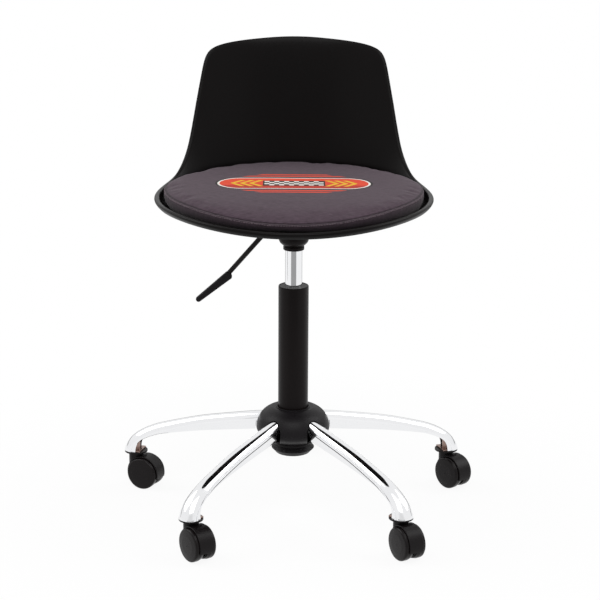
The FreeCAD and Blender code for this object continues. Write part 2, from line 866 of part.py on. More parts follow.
def shell_column(previous, here, following):
    """Control points up one bearing, for the sitting side and for the under side."""
    degrees, radius, height = here
    backness = blend(min(degrees, 360 - degrees), wall_turn_deg[0], wall_turn_deg[1])
    lip_out = lip_out_front + (lip_out_back - lip_out_front) * backness
    lip_drop = lip_drop_front + (lip_drop_back - lip_drop_front) * backness
    lip_tuck = lip_tuck_front + (lip_tuck_back - lip_tuck_front) * backness
    inset = recess_wall_front + (recess_wall_back - recess_wall_front) * backness
    run = polar(following[1], following[0], following[2])
    run = run - polar(previous[1], previous[0], previous[2])
    outward = polar(1, degrees, 0)
    inward = run.cross(outward)
    inward.normalize()
    crest = polar(radius - lip_out, degrees, height)
    crest = crest + DOWN * front_drop(crest.y)
    lip_end = crest + outward * (lip_out - lip_tuck) + inward * lip_drop
    bend_r = rim_r - inset
    flat_r = bend_r - pan_round
    recess = min(rim_z, crest.z) - floor_z

    top = []
    for share in floor_row_shares:
        top.append(polar(floor_disc_r + (flat_r - floor_disc_r) * share, degrees, floor_z))
    for across_share, rise_share in bend_row_shares:
        top.append(polar(flat_r + pan_round * across_share, degrees, floor_z + recess * rise_share))
    foot = top[-1]
    for row in range(1, wall_rows + 1):
        top.append(foot + (crest - foot) * (row / float(wall_rows)))
    top.append(crest + outward * lip_out)
    top.append(crest + outward * lip_out + inward * (lip_drop / 2))
    top.append(lip_end)

    heel_r = flat_r + shell_wall * heel_share
    under = []
    for share in floor_row_shares:
        reach = floor_disc_r + (heel_r - floor_disc_r) * share
        under.append(polar(reach, degrees, floor_z - shell_wall))
    sole = foot + (outward + DOWN * sole_share) * shell_wall
    for row in range(wall_rows):
        under.append(sole + (lip_end - sole) * (row / float(wall_rows)))
    under.append(lip_end - outward * lip_edge)
    return top, under


def skin(columns):
    """Smooth closed band through columns of control points, round and round."""
    count = len(columns)
    rows = len(columns[0])
    surface = Part.BSplineSurface()
    poles = [[columns[place][row] for place in range(count)] for row in range(rows)]
    degree = 3
    row_knots = list(range(rows - degree + 1))
    row_mults = [degree + 1] + [1] * (rows - degree - 1) + [degree + 1]
    round_knots = list(range(count + 1))
    round_mults = [1] * (count + 1)
    surface.buildFromPolesMultsKnots(poles, row_mults, round_mults, row_knots, round_knots,
                                     False, True, degree, degree)
    return surface


def make_seat_shell():
    edge = shell_edge()
    tops = []
    unders = []
    for place, here in enumerate(edge):
        top, under = shell_column(edge[place - 1], here, edge[(place + 1) % len(edge)])
        tops.append(top)
        unders.append(under)
    upper = skin(tops)
    lower = skin(unders)
    faces = [upper.toShape(), lower.toShape()]
    rims = []
    for surface in (upper, lower):
        first, last, _, _ = surface.bounds()
        faces.append(Part.Face(Part.Wire(surface.uIso(first).toShape())))
        rims.append(surface.uIso(last).toShape())
    faces.append(Part.makeRuledSurface(rims[0], rims[1]))
    shell = Part.makeShell(faces)
    shell.sewShape()
    shell = Part.makeSolid(Part.Shell(shell.Faces))
    bosses = []
    for x, y in screw_places:
        low_z = plate_low_z + plate_thick + fit_gap
        boss = Part.makeCylinder(boss_r, floor_z - shell_wall / 2 - low_z, Vector(x, y, low_z), UP)
        bosses.append(boss)
    shell = joined([shell] + bosses)
    for x, y in screw_places:
        low_z = plate_low_z + plate_thick
        depth = screw_length - plate_thick + fit_gap
        shell = shell.cut(Part.makeCylinder(screw_r + fit_gap, depth, Vector(x, y, low_z), UP))
    return shell


def pad_outline(inset, share, rise):
    """Round pad's outline, a little flatter across the back, as four arcs.

    The share is the way up the side band, whose top seam tips down to the front."""
    radius = pad_r - inset
    back_y = pad_back_y - inset
    left = polar(radius, pad_side_deg, 0)
    right = polar(radius, -pad_side_deg, 0)
    front = polar(radius, 0, 0)
    rear = Vector(0, back_y, 0)
    sag = back_y - left.y
    back_r = (left.x * left.x + sag * sag) / (2 * sag)
    half_turn = math.asin(left.x / back_r) / 2
    back_left = Vector(back_r * math.sin(half_turn), back_y - back_r * (1 - math.cos(half_turn)), 0)
    back_right = Vector(-back_left.x, back_left.y, 0)
    wire = Part.Wire([
        Part.Arc(right, polar(radius, -pad_side_deg / 2, 0), front).toShape(),
        Part.Arc(front, polar(radius, pad_side_deg / 2, 0), left).toShape(),
        Part.Arc(left, back_left, rear).toShape(),
        Part.Arc(rear, back_right, right).toShape(),
    ])
    wire.rotate(Vector(0, 0, 0), SIDEWAYS, pad_tilt_deg * share)
    wire.translate(Vector(0, 0, floor_z + soft_gap + pad_thick * share + rise))
    return wire


def make_seat_cushion():
    """Round boxed pad: crowned top, side band drawn in at its seams."""
    band = []
    for inset_share, share in pad_band_shares:
        band.append(pad_outline(pad_draw_in * inset_share, share, 0))
    seam = pad_outline(pad_seam_inset, 1, 0)
    body = Part.makeLoft(band + [seam], True, False)
    crown = [seam]
    for inset_share, rise_share in pad_crown_shares:
        crown.append(pad_outline(pad_r * inset_share, 1, pad_crown * rise_share))
    top = Part.makeLoft(crown, True, False)
    return joined([body, top])


# Castors, each built about its stem with the wheels trailing along +X

def castor_placed(shape, index):
    """Turn a castor to its heading and carry it to the end of its leg."""
    placed = shape.copy()
    placed.rotate(Vector(0, 0, 0), UP, castor_heading_deg[index])
    placed.translate(polar(castor_circle_r, leg_bearings[index], 0))
    return placed


wheel_centre = Vector(castor_trail, 0, wheel_r)


def drum(radius, from_y, to_y):
    """Round bar along a castor's axle."""
    return Part.makeCylinder(radius, to_y - from_y, wheel_centre + REARWARDS * from_y, REARWARDS)


def make_castor_housing():
    """Hood over both wheels, centre web, tower round the stem and top flange."""
    hood_inner_r = wheel_r + hood_gap
    hood_r = hood_inner_r + hood_wall
    hood = drum(hood_r, -hood_half_width, hood_half_width)
    rims = [edge for edge in hood.Edges if abs(edge.Length - 2 * math.pi * hood_r) < overrun]
    hood = hood.makeFillet(hood_wall / 2, rims)
    tower = disc(castor_tower_r, wheel_r, castor_top_z - castor_flange_thick / 2)
    flange = disc(castor_flange_r, castor_top_z - castor_flange_thick, castor_top_z)
    body = joined([hood, tower, flange])
    for side in (-1, 1):
        near = min(side * web_half_thick, side * 2 * hood_half_width)
        far = max(side * web_half_thick, side * 2 * hood_half_width)
        body = body.cut(drum(hood_inner_r, near, far))
    below = block(Vector(-4 * wheel_r, -wheel_r, -wheel_r), Vector(4 * wheel_r, wheel_r, hood_low_z))
    body = body.cut(below)
    body = body.cut(drum(axle_r, -web_half_thick - overrun, web_half_thick + overrun))
    seat_z = castor_top_z - stem_seat_depth
    return body.cut(disc(stem_r, seat_z, castor_top_z + overrun))


def make_castor_stem():
    """Steel pin pressed in the housing, turning in the leg's bush."""
    seat_z = castor_top_z - stem_seat_depth
    high_z = castor_top_z + stem_length - socket_plate_thick - 2 * joint_gap
    pin = disc(stem_r - fit_gap / 3, seat_z, high_z)
    groove_z = high_z - 2 * stem_groove_height
    groove = ring(stem_r + overrun, stem_r - stem_groove_depth, groove_z,
                  groove_z + stem_groove_height)
    return pin.cut(groove)


def make_castor_axle():
    return drum(axle_r - fit_gap / 3, -axle_half_length, axle_half_length)


def make_castor_wheel(side):
    """Hollow moulded wheel, open towards the web, with a domed outer face."""
    bore_r = axle_r + running_gap
    bore_y = axle_half_length + joint_gap
    cavity_y = wheel_outer_y - wheel_face_thick
    rim_inner_r = wheel_r - wheel_rim_thick
    profile = [
        (bore_r, wheel_inner_y),
        (wheel_hub_r, wheel_inner_y),
        (wheel_hub_r, cavity_y),
        (rim_inner_r, cavity_y),
        (rim_inner_r, wheel_inner_y),
        (wheel_r - wheel_inner_taper, wheel_inner_y),
        (wheel_r, wheel_tread_y),
        (wheel_r, wheel_outer_y - wheel_round),
    ]
    for inwards, short in wheel_round_shares:
        profile.append((wheel_r - inwards * wheel_round, wheel_outer_y - short * wheel_round))
    profile += [
        (wheel_r - wheel_round, wheel_outer_y),
        (wheel_crown_shares[0] * wheel_r, wheel_outer_y + wheel_crown_shares[1] * wheel_crown),
        (0, wheel_outer_y + wheel_crown),
        (0, bore_y),
        (bore_r, bore_y),
    ]
    points = [Vector(castor_trail + radius, side * y, wheel_r) for radius, y in profile]
    return spun(points, wheel_centre, REARWARDS)


# The whole chair: each name with its shape

def base_pieces():
    pieces = {
        "column_tube": make_column_tube(),
        "guide_sleeve": make_guide_sleeve(),
        "column_bottom_plate": make_bottom_plate(),
        "bearing_lower_washer": make_lower_washer(),
        "hub_tube": make_hub_tube(),
        "hub_cover_upper": make_hub_cover_upper(),
        "hub_cover_lower": make_hub_cover_lower(),
        "stem_sockets": make_stem_sockets(),
    }
    for index, bearing in enumerate(leg_bearings):
        pieces["leg_%d" % (index + 1)] = make_leg(bearing)
    return pieces


def spring_pieces():
    return {
        "ball_cage": make_ball_cage(),
        "bearing_balls": make_bearing_balls(),
        "bearing_upper_washer": make_upper_washer(),
        "piston_rod": make_piston_rod(),
        "piston": make_piston(),
        "bump_stop": make_bump_stop(),
        "retaining_clip": make_retaining_clip(),
        "gas_cylinder": make_gas_cylinder(),
        "seal_plug": make_seal_plug(),
        "inner_tube": make_inner_tube(),
        "valve_body": make_valve_body(),
        "release_button": make_release_button(),
    }


def seat_pieces():
    return {
        "cone_socket": make_cone_socket(),
        "socket_cup": make_socket_cup(),
        "mounting_plate": make_mounting_plate(),
        "lever_pin": make_lever_pin(),
        "lever_rod": make_lever_rod(),
        "lever_handle": make_lever_handle(),
        "plate_screws": make_plate_screws(),
        "seat_shell": make_seat_shell(),
        "seat_cushion": make_seat_cushion(),
    }


def castor_pieces():
    pieces = {}
    for index in range(leg_count):
        label = "castor_%d_" % (index + 1)
        pieces[label + "stem"] = castor_placed(make_castor_stem(), index)
        pieces[label + "housing"] = castor_placed(make_castor_housing(), index)
        pieces[label + "axle"] = castor_placed(make_castor_axle(), index)
        pieces[label + "wheel_a"] = castor_placed(make_castor_wheel(-1), index)
        pieces[label + "wheel_b"] = castor_placed(make_castor_wheel(1), index)
    return pieces


os.makedirs("parts", exist_ok=True)
for group in (base_pieces(), spring_pieces(), seat_pieces(), castor_pieces()):
    for name, shape in group.items():
        shape.translate(Vector(column_x, column_y, 0))
        shape.exportStep("parts/%s.step" % name)
        print("%-22s solids %d valid %s volume %.0f" % (name, len(shape.Solids), shape.isValid(),
                                                       shape.Volume))
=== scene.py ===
import math

import bmesh
import bpy
from mathutils import Matrix, Vector, noise
from mathutils.bvhtree import BVHTree


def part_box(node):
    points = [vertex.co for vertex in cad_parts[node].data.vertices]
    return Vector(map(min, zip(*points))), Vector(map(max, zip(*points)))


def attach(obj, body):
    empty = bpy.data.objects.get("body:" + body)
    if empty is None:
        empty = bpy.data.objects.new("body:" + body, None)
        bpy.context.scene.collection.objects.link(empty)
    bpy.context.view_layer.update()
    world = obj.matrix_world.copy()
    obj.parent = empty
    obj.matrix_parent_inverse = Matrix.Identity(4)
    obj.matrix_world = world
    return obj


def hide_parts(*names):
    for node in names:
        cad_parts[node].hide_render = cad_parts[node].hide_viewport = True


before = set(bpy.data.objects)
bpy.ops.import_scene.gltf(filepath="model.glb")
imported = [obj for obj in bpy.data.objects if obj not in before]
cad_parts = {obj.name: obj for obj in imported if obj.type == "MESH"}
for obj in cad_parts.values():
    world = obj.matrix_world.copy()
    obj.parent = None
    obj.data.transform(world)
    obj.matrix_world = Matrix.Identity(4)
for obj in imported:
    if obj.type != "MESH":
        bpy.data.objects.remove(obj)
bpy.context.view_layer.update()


# The studio: a camera three metres in front of the chair, looking down on its seat, a pale
# floor in a white room, a large soft lamp over each side and one in front. Behind the camera
# and behind the chair the room is greyer, which gives the chrome its bands.

tube_low, tube_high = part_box("column_tube")
column = Vector(((tube_low.x + tube_high.x) / 2, (tube_low.y + tube_high.y) / 2, 0))
scene = bpy.context.scene

# the camera's place from the column's foot in metres, and its turns in radians
camera_distance = 3.14484
camera_height = 1.24215
camera_side = 0.0107
camera_pitch = 0.2745
camera_roll = 0.0057
camera_film_mm = 36
camera_lens_mm = 118.66
camera = bpy.data.objects.new("photo_camera", bpy.data.cameras.new("photo_camera"))
camera.data.sensor_width = camera_film_mm
camera.data.lens = camera_lens_mm
camera.matrix_world = (
    Matrix.Translation(column + Vector((camera_side, -camera_distance, camera_height)))
    @ Matrix.Rotation(math.pi / 2 - camera_pitch, 4, "X")
    @ Matrix.Rotation(camera_roll, 4, "Z"))
scene.collection.objects.link(camera)
scene.camera = camera
scene.view_settings.view_transform = "Standard"


def add(tree, kind, inputs=None, **settings):
    """Add a node with its settings, and feed its inputs with values, nodes or outputs."""
    made = tree.nodes.new(kind)
    for name, value in settings.items():
        setattr(made, name, value)
    for name, value in (inputs or {}).items():
        if isinstance(value, bpy.types.Node):
            value = value.outputs[0]
        if isinstance(value, bpy.types.NodeSocket):
            tree.links.new(value, made.inputs[name])
        else:
            made.inputs[name].default_value = value
    return made


def grey(level):
    """A neutral colour of one level, as light."""
    return (level, level, level, 1)


# the light that a matt surface gets from the room, and the white that gloss sees in it
room_light = 0.42
room_white = 0.96
# each greyer patch that gloss sees: its level, then the shares towards the back and upwards
# between which it fades in
room_patches = {
    "behind_camera": (0.8, (-0.8, -0.93), (0.6, 0.4)),
    "horizon_behind_chair": (0.3, (0.3, 0.5), (0.14, 0.07)),
}


def room(tree):
    """White for the camera, an even soft light, and for gloss a white room with its patches."""
    way = add(tree, "ShaderNodeTexCoord").outputs["Generated"]
    split = add(tree, "ShaderNodeSeparateXYZ", {0: way})
    mirrored = grey(room_white)
    for level, (back_from, back_to), (high_from, high_to) in room_patches.values():
        back = add(tree, "ShaderNodeMapRange", {
            "Value": split.outputs["Y"], "From Min": back_from, "From Max": back_to})
        high = add(tree, "ShaderNodeMapRange", {
            "Value": split.outputs["Z"], "From Min": high_from, "From Max": high_to})
        patch = add(tree, "ShaderNodeMath", {0: back, 1: high}, operation="MULTIPLY")
        mirrored = add(tree, "ShaderNodeMix", {
            "Factor": patch, "A": mirrored, "B": grey(level)}, data_type="RGBA").outputs["Result"]
    path = add(tree, "ShaderNodeLightPath")
    lit = add(tree, "ShaderNodeMix", {
        "Factor": path.outputs["Is Glossy Ray"], "A": grey(room_light), "B": mirrored},
        data_type="RGBA")
    seen = add(tree, "ShaderNodeMix", {
        "Factor": path.outputs["Is Camera Ray"], "A": lit.outputs["Result"], "B": grey(1)},
        data_type="RGBA")
    light = add(tree, "ShaderNodeBackground", {"Color": seen.outputs["Result"]})
    add(tree, "ShaderNodeOutputWorld", {"Surface": light})


world = bpy.data.worlds.new("white_room")
world.use_nodes = True
world.node_tree.nodes.clear()
room(world.node_tree)
scene.world = world


def object_from(name, bm):
    """A smooth-shaded object of a bmesh, its place in its mesh."""
    mesh = bpy.data.meshes.new(name)
    bmesh.ops.recalc_face_normals(bm, faces=bm.faces)
    bm.to_mesh(mesh)
    bm.free()
    mesh.polygons.foreach_set("use_smooth", [True] * len(mesh.polygons))
    made = bpy.data.objects.new(name, mesh)
    scene.collection.objects.link(made)
    return made


def material_tree(name):
    """A new material with an empty tree."""
    material = bpy.data.materials.new(name)
    material.use_nodes = True
    material.node_tree.nodes.clear()
    return material, material.node_tree


def colour(hex_code):
    """An sRGB hex colour as the linear one that a shader takes."""
    channels = [int(hex_code[at:at + 2], 16) / 255 for at in (0, 2, 4)]
    linear = [c / 12.92 if c <= 0.04045 else ((c + 0.055) / 1.055) ** 2.4 for c in channels]
    return (*linear, 1)


floor_radius = 22.0
# within the near distance the camera sees this share of plain white over the paint and its
# shadows, and past the far one plain white alone
shadow_near = 0.32
shadow_far = 0.75
shadow_white = 0.92
# gloss sees a bare grey floor past the edge of a white sheet, ahead of the chair and behind
# it, where the way leads less sideways than these shares
sheet_near = 1.1
sheet_far = 1.2
bare_sides = (0.6, 0.55)
bare_grey = 0.36


def floor_finish():
    """Matt pale paint that keeps the shadows, and a plain white for the camera and gloss."""
    material, tree = material_tree("pale_floor_paint")
    pale = add(tree, "ShaderNodeBsdfDiffuse", {"Color": colour("F4F4F4")})
    from_chair = add(tree, "ShaderNodeTexCoord").outputs["Object"]
    far = add(tree, "ShaderNodeVectorMath", {0: from_chair}, operation="LENGTH").outputs["Value"]
    way = add(tree, "ShaderNodeVectorMath", {0: from_chair}, operation="NORMALIZE")
    sideways = add(tree, "ShaderNodeSeparateXYZ", {0: way})
    across = add(tree, "ShaderNodeMath", {0: sideways}, operation="ABSOLUTE")
    beyond = add(tree, "ShaderNodeMapRange", {
        "Value": far, "From Min": sheet_near, "From Max": sheet_far})
    ahead = add(tree, "ShaderNodeMapRange", {
        "Value": across, "From Min": bare_sides[0], "From Max": bare_sides[1]})
    bare = add(tree, "ShaderNodeMath", {0: beyond, 1: ahead}, operation="MULTIPLY")
    path = add(tree, "ShaderNodeLightPath")
    bare_seen = add(tree, "ShaderNodeMath", {
        0: bare, 1: path.outputs["Is Glossy Ray"]}, operation="MULTIPLY")
    shine = add(tree, "ShaderNodeMapRange", {
        "Value": bare_seen, "To Min": 1.0, "To Max": bare_grey})
    glow = add(tree, "ShaderNodeEmission", {"Color": grey(1), "Strength": shine})
    white = add(tree, "ShaderNodeMapRange", {
        "Value": far, "From Min": shadow_near, "From Max": shadow_far, "To Min": shadow_white,
        "To Max": 1.0})
    # 1 for what the camera, a gloss or a clear piece sees, 0 for light on a matt surface
    shown = add(tree, "ShaderNodeMath", {
        0: path.outputs["Is Camera Ray"], 1: path.outputs["Is Glossy Ray"]}, operation="ADD")
    sharp = add(tree, "ShaderNodeMath", {
        0: shown, 1: path.outputs["Is Transmission Ray"]}, operation="ADD", use_clamp=True)
    share = add(tree, "ShaderNodeMath", {0: sharp, 1: white}, operation="MULTIPLY")
    mixed = add(tree, "ShaderNodeMixShader", {0: share, 1: pale, 2: glow})
    add(tree, "ShaderNodeOutputMaterial", {"Surface": mixed})
    return material


floor_disc = bmesh.new()
bmesh.ops.create_circle(floor_disc, cap_ends=True, segments=64, radius=floor_radius)
floor = object_from("studio_floor", floor_disc)
floor.data.materials.append(floor_finish())

lamp_aim = column + Vector((0, 0, 0.42))
# place and size of each lamp in metres, and its power in watts
soft_lamps = {
    "lamp_left": ((-2.4, 0.3, 2.3), 2.0, 34),
    "lamp_right": ((2.4, 0.3, 2.3), 2.0, 34),
    "lamp_front": ((0.0, -2.2, 2.7), 2.4, 40),
}
for name, (place, size, power) in soft_lamps.items():
    lamp = bpy.data.lights.new(name, "AREA")
    lamp.shape = "SQUARE"
    lamp.size = size
    lamp.energy = power
    holder = bpy.data.objects.new(name, lamp)
    holder.location = column + Vector(place)
    holder.rotation_euler = (lamp_aim - holder.location).to_track_quat("-Z", "Y").to_euler()
    scene.collection.objects.link(holder)


# The small pieces inside the column and the gas spring: pins, washers and tubes turned from
# bright steel, a sleeve and a cage moulded in acetal, rubber stops and seals, and the release
# button. They keep their shapes from the frame.

def finish(material, *names):
    """Give pieces of the frame their finish."""
    for name in names:
        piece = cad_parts[name]
        piece.data.materials.clear()
        piece.data.materials.append(material)


# a bevel of this many samples is smooth enough at the width of an edge
edge_samples = 4
grain_height = 0.0004
# slow clouds of the second tone, about 55 mm across
cloud_scale = 18.0


def plain_finish(name, base, dark, roughness, specular, metallic=0.0, grain_mm=1.2, bump=0.05,
                 spread=0.06, edge=0.0006):
    """A moulded, painted or plated surface: two close tones, a fine grain, edges a little soft.

    The grain is given in millimetres, as coarse as the render can show it.
    """
    material, tree = material_tree(name)
    place = add(tree, "ShaderNodeTexCoord").outputs["Object"]
    grain = add(tree, "ShaderNodeTexNoise", {
        "Vector": place, "Scale": 1000 / grain_mm, "Detail": 3.0})
    cloud = add(tree, "ShaderNodeTexNoise", {"Vector": place, "Scale": cloud_scale, "Detail": 2.0})
    tone = add(tree, "ShaderNodeMix", {
        "Factor": cloud.outputs["Fac"], "A": colour(dark), "B": colour(base)}, data_type="RGBA")
    rough = add(tree, "ShaderNodeMapRange", {
        "Value": grain.outputs["Fac"], "To Min": roughness - spread, "To Max": roughness + spread})
    raised = add(tree, "ShaderNodeBump", {
        "Strength": bump, "Distance": grain_height, "Height": grain.outputs["Fac"]})
    if edge:
        rounded = add(tree, "ShaderNodeBevel", {"Radius": edge}, samples=edge_samples)
        tree.links.new(rounded.outputs[0], raised.inputs["Normal"])
    shader = add(tree, "ShaderNodeBsdfPrincipled", {
        "Base Color": tone.outputs["Result"], "Metallic": metallic, "Roughness": rough,
        "Specular IOR Level": specular, "Normal": raised})
    add(tree, "ShaderNodeOutputMaterial", {"Surface": shader})
    return material


# bright steel off the lathe: pale grey, with a soft broken glint
turned_steel = plain_finish("turned_bright_steel", "B4B5B8", "A0A1A5", 0.28, 0.5, metallic=1.0)
finish(turned_steel, "column_bottom_plate", "bearing_lower_washer", "bearing_upper_washer",
       "bearing_balls", "piston_rod", "piston", "retaining_clip", "inner_tube", "valve_body",
       "lever_pin")
# moulded acetal under grease: nearly black, with a dull waxy sheen at the tube's mouth
acetal = plain_finish("dark_greased_acetal", "221E1F", "141112", 0.35, 0.12)
finish(acetal, "guide_sleeve", "ball_cage")
# moulded rubber: matt black, without a glint
rubber = plain_finish("black_rubber", "1B1A1A", "141313", 0.75, 0.3, grain_mm=2.0, bump=0.2)
finish(rubber, "bump_stop", "seal_plug")
# moulded acetal in the usual red of a release button
red_acetal = plain_finish("red_acetal", "A92A20", "8F2019", 0.35, 0.5)
finish(red_acetal, "release_button")

# The legs: pressed steel arms under bright chrome plate, each a round-topped cap over two flat
# flanks set in a little, with a seam between them. On the two front legs the seam is painted
# near black as painted shade and painted dark reflection. They come out of the hub's covers,
# where the flanks are cut short, and end over the castors' bushes.

leg_turns = [math.radians(37.65 + 72 * number) for number in range(5)]
leg_near_r = 0.0279
leg_nose_r = 0.3026
leg_end_z = 0.0646
leg_root_z = 0.162
leg_root_half = 0.0105
leg_end_half = 0.0176
leg_wall = 0.0018
leg_shoulder_share = 0.93
leg_shoulder_steps = 7
leg_cap_depth = 0.0126
leg_cap_lip = 0.0009
leg_seam = 0.0022
leg_set_in = 0.001
leg_flank_start = 0.066
# the cap's lower edge is rolled in a little, and the flank's foot has its corner broken
leg_roll_depth = 0.0008
leg_roll_in = 0.0002
leg_foot_break = 0.0005
# the ridge and the lower edge at each station, as shares of the leg's reach and height
ridge_shares = [(0.0, 1.0), (0.13, 0.951), (0.256, 0.89), (0.507, 0.751), (0.735, 0.572),
                (0.822, 0.483), (0.889, 0.386), (0.942, 0.274), (0.976, 0.157), (0.995, 0.05),
                (1.0, 0.0)]
edge_shares = [(0.0, 0.697), (0.115, 0.66), (0.239, 0.615), (0.489, 0.519), (0.716, 0.402),
               (0.791, 0.343), (0.852, 0.268), (0.889, 0.194), (0.905, 0.12), (0.911, 0.05),
               (0.912, 0.0)]
rows_per_station = 9


def along(stations, way):
    """A point on a smooth line through the stations, at a share of the way."""
    place = way * (len(stations) - 1)
    at = min(int(place), len(stations) - 2)
    part = place - at
    near = [Vector(stations[min(max(at + step, 0), len(stations) - 1)]) for step in (-1, 0, 1, 2)]
    return 0.5 * (2 * near[1] + (near[2] - near[0]) * part
                  + (2 * near[0] - 5 * near[1] + 4 * near[2] - near[3]) * part ** 2
                  + (3 * near[1] - near[0] - 3 * near[2] + near[3]) * part ** 3)


def leg_half_section(half, foot):
    """Outer and inner points from the crest down one side, as distance across and depth."""
    shoulder = half * leg_shoulder_share
    reach = shoulder - leg_wall
    outer, inner = [], []
    for step in range(leg_shoulder_steps + 1):
        turn = math.radians(90 * step / leg_shoulder_steps)
        outer.append((half - shoulder + shoulder * math.sin(turn), shoulder * (1 - math.cos(turn))))
        inner.append((half - shoulder + reach * math.sin(turn), shoulder - reach * math.cos(turn)))
    # from the cap's lower edge over the seam to the flank's foot: how far in, and how deep
    for inwards, depth in ((0, leg_cap_depth - leg_roll_depth),
                           (leg_roll_in, leg_cap_depth),
                           (0.4 * leg_set_in, leg_cap_depth + 0.3 * leg_seam),
                           (0.8 * leg_set_in, leg_cap_depth + 0.7 * leg_seam),
                           (leg_set_in, leg_cap_depth + leg_seam),
                           (leg_set_in, foot - leg_foot_break),
                           (leg_set_in + leg_foot_break, foot)):
        outer.append((half - inwards, min(depth, foot)))
        inner.append((half - leg_wall - leg_set_in, min(max(depth, shoulder), foot)))
    return outer, inner


# points closer than this are one
merge_gap = 0.00001


def placed_grid(columns, rows, place, second=()):
    """A grid closed on itself, each point put in place by its column and row. The strips of
    faces numbered in second take the second material."""
    bm = bmesh.new()
    bmesh.ops.create_grid(bm, x_segments=columns, y_segments=rows, size=0.5)
    for face in bm.faces:
        face.material_index = int(int((face.calc_center_median().y + 0.5) * rows) in second)
    for vert in bm.verts:
        vert.co = place(round((vert.co.x + 0.5) * columns), round((vert.co.y + 0.5) * rows))
    bmesh.ops.remove_doubles(bm, verts=bm.verts, dist=merge_gap)
    return bm


def leg_mesh(turn):
    """The skin of one leg, from the hub out to its nose, closed at both ends."""
    away = Vector((math.sin(turn), -math.cos(turn), 0))
    side = Vector((math.cos(turn), math.sin(turn), 0))
    rows = (len(ridge_shares) - 1) * rows_per_station
    loops = []
    for row in range(rows + 1):
        way = row / rows
        ridge, edge = (away * (leg_near_r + (leg_nose_r - leg_near_r) * share.x)
                       + Vector((0, 0, leg_end_z + (leg_root_z - leg_end_z) * share.y))
                       for share in (along(ridge_shares, way), along(edge_shares, way)))
        down = edge - ridge
        foot = down.length
        if ridge.to_2d().length < leg_flank_start:
            foot = leg_cap_depth + leg_cap_lip
        down.normalize()
        half = leg_root_half + (leg_end_half - leg_root_half) * way
        outer, inner = leg_half_section(half, foot)
        # outside from one foot over the crest to the other, and back along the inside
        round_trip = ((outer[:0:-1], -1), (outer, 1), (inner[::-1], 1), (inner[1:], -1))
        loops.append([column + ridge + side * sign * x + down * depth
                      for points, sign in round_trip for x, depth in points])
    count = len(loops[0])
    # the seam under the cap is three strips, counted from the foot of either side
    last_outside = count // 2 - 2
    seam_strips = [strip for low in (2, 3, 4) for strip in (low, last_outside - low)]
    bm = placed_grid(rows, count, lambda row, at: loops[row][at % count], seam_strips)
    bmesh.ops.holes_fill(bm, edges=[edge for edge in bm.edges if edge.is_boundary], sides=0)
    bmesh.ops.dissolve_degenerate(bm, dist=0.000001, edges=bm.edges)
    return bm


# bright chrome plate: a clear mirror of the white room, hardly dimmed
chrome_plate = plain_finish("bright_chrome_plate", "F4F4F5", "EBECEE", 0.07, 0.5, metallic=1.0,
                            grain_mm=3.0, bump=0.0, spread=0.02, edge=0)
# painted shade: the seam is painted near black on the two legs that come towards the eye, for
# the dark reflection their chrome shows there; on the other legs it stays chrome
painted_seam_shade = plain_finish("painted_shade_plate_seam", "0C0B0B", "080707", 0.6, 0.1, edge=0)
painted_dark_seam_legs = (1, 5)
for number, turn in enumerate(leg_turns, 1):
    leg = object_from("chromed_leg_%d" % number, leg_mesh(turn))
    leg.data.set_sharp_from_angle(angle=math.radians(38))
    leg.data.materials.append(chrome_plate)
    leg.data.materials.append(painted_seam_shade if number in painted_dark_seam_legs else chrome_plate)
    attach(leg, "base")
    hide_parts("leg_%d" % number)

# The hub, the column and what the seat stands on: black powder coat on the steel, satin black
# mouldings snapped over the hub, chrome on the gas spring's tube, and zinc on the castors'
# bushes and the screws.

finish(chrome_plate, "gas_cylinder")
# yellowed zinc plate: a warm dull metal that looks like pale copper in the legs' shade
zinc_plate = plain_finish("yellowed_zinc_plate", "A48E84", "87716A", 0.3, 0.5, metallic=1.0)
finish(zinc_plate, "stem_sockets", "plate_screws")
# baked powder coat: a brownish black with a slight orange peel, grey along its turns
powder_coat = plain_finish("satin_black_powder_coat", "0F0909", "0B0606", 0.34, 0.12,
                           grain_mm=1.5, bump=0.1, edge=0.001)
finish(powder_coat, "column_tube", "cone_socket", "socket_cup", "mounting_plate", "hub_tube")
# moulded polypropylene with a fine spark grain: a cooler black that spreads its highlight
cover_plastic = plain_finish("satin_black_polypropylene", "161316", "110F11", 0.42, 0.15,
                             grain_mm=1.6, bump=0.08, edge=0.001)
finish(cover_plastic, "hub_cover_upper", "hub_cover_lower", "lever_handle")

# The lever's rod: bent steel wire, dipped in black vinyl outside the cup. The dip makes it
# thicker than the wire, and the handle is pushed on over it.

dip_thickness = 0.0006
dip_start = 0.03


def dipped_rod():
    """The steel rod with the dip's thickness over it, from a little inside the cup outwards."""
    bm = bmesh.new()
    bm.from_mesh(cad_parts["lever_rod"].data)
    bmesh.ops.remove_doubles(bm, verts=bm.verts, dist=merge_gap)
    bm.normal_update()
    for vert in bm.verts:
        if column.x - vert.co.x > dip_start:
            vert.co += vert.normal * dip_thickness
    return bm


rod = object_from("dipped_lever_rod", dipped_rod())
rod.data.set_sharp_from_angle(angle=math.radians(40))
# dipped vinyl: black with a soft sheen and no glint
dipped_vinyl = plain_finish("black_dipped_vinyl", "0F0909", "0B0606", 0.38, 0.14, edge=0)
rod.data.materials.append(dipped_vinyl)
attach(rod, "lever")
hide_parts("lever_rod")

# The castors: a nylon hood moulded in one piece over two nylon wheels on a steel axle, and a
# steel stem that stands in the leg's bush.

# moulded nylon: a neutral black, a little shinier on the wheels, which the floor polishes
castor_nylon = plain_finish("black_nylon", "110D0E", "0C090A", 0.36, 0.15, grain_mm=1.4,
                            bump=0.06, edge=0.001)
wheel_nylon = plain_finish("black_wheel_nylon", "120D0E", "0D090A", 0.26, 0.15, grain_mm=1.4,
                           bump=0.05, edge=0.001)
for number in range(1, 6):
    castor = "castor_%d_" % number
    finish(castor_nylon, castor + "housing")
    finish(wheel_nylon, castor + "wheel_a", castor + "wheel_b")
    finish(turned_steel, castor + "stem", castor + "axle")

